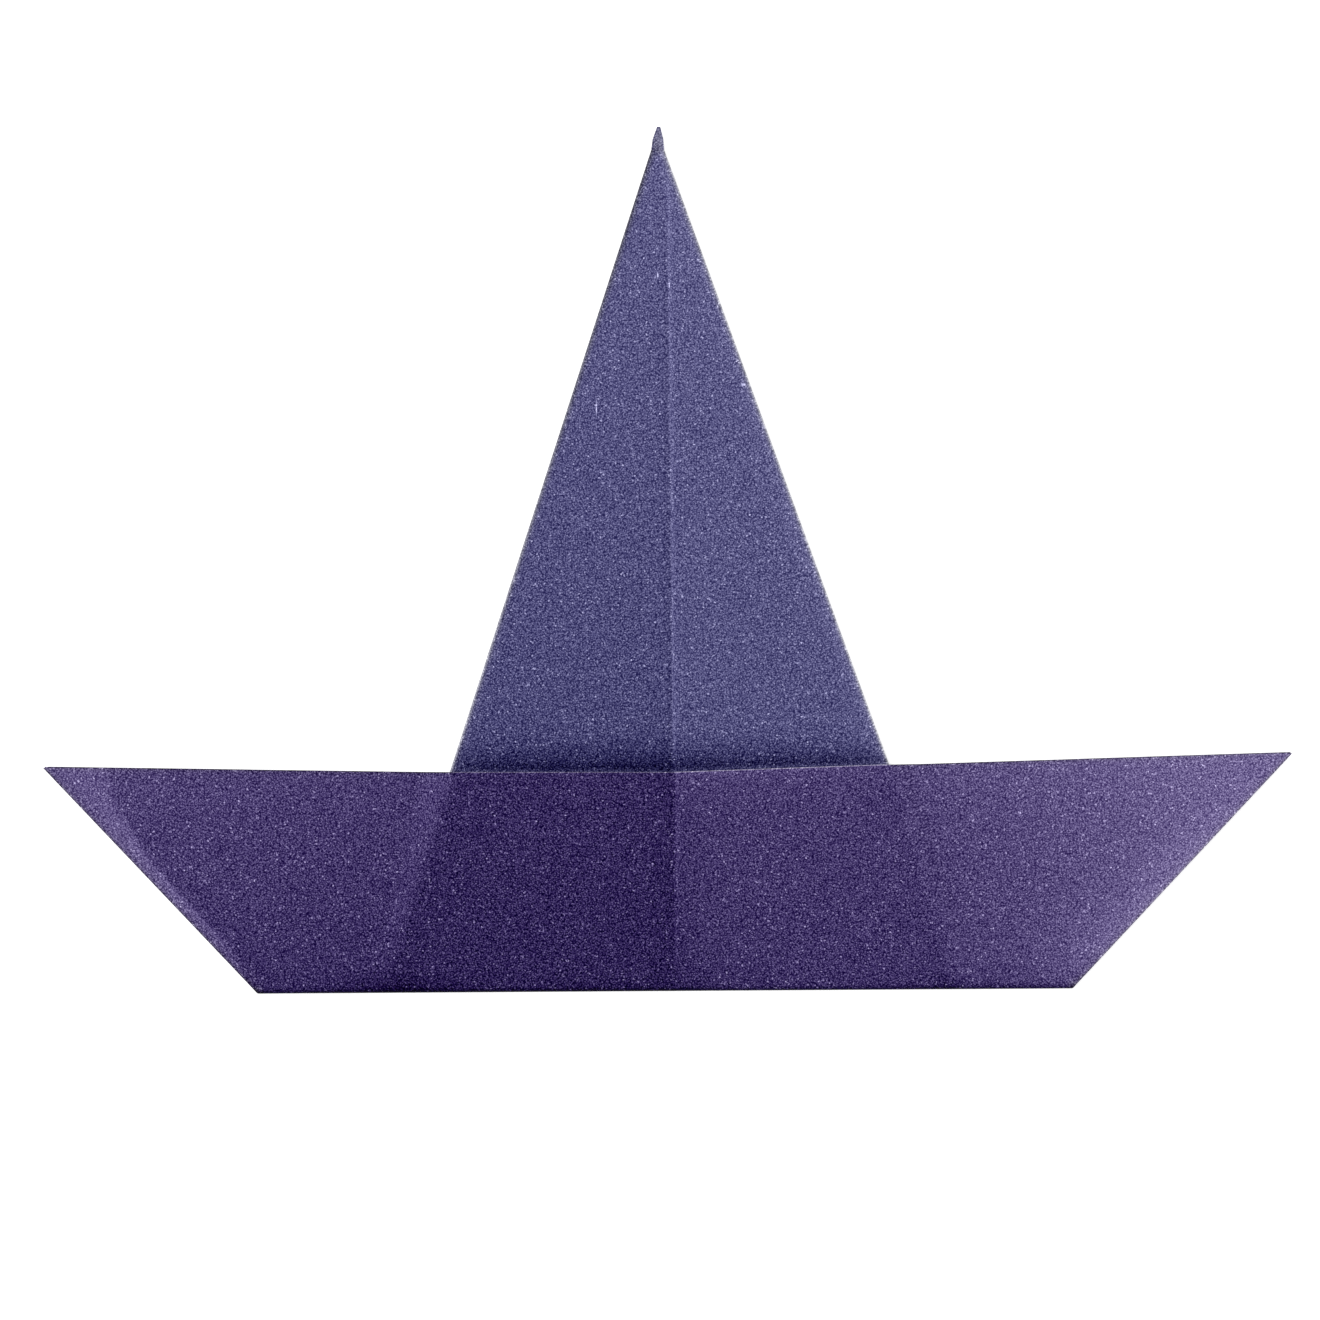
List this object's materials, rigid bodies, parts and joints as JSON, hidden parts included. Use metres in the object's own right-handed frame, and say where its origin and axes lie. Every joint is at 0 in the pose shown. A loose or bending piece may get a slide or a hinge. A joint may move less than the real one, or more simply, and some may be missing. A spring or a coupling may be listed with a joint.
{
  "type": "origami witch hat",
  "caption": "Paper witch hat folded from one square sheet: a tall pointed crown with side flaps behind it and a wide boat-shaped brim.",
  "frame": {"origin": "centre of the hat's outline, on the surface that its back lies on", "axes": "+X across the brim to the viewer's right, +Y from the brim to the crown's point, +Z out of the hat's front"},
  "size_m": [0.1526, 0.106, 0.0026],
  "materials": {
    "paper": "violet-blue craft paper with a faint pearly grain"
  },
  "bodies": {
    "root": {"folded_sheet": "paper"}
  },
  "joints": []
}
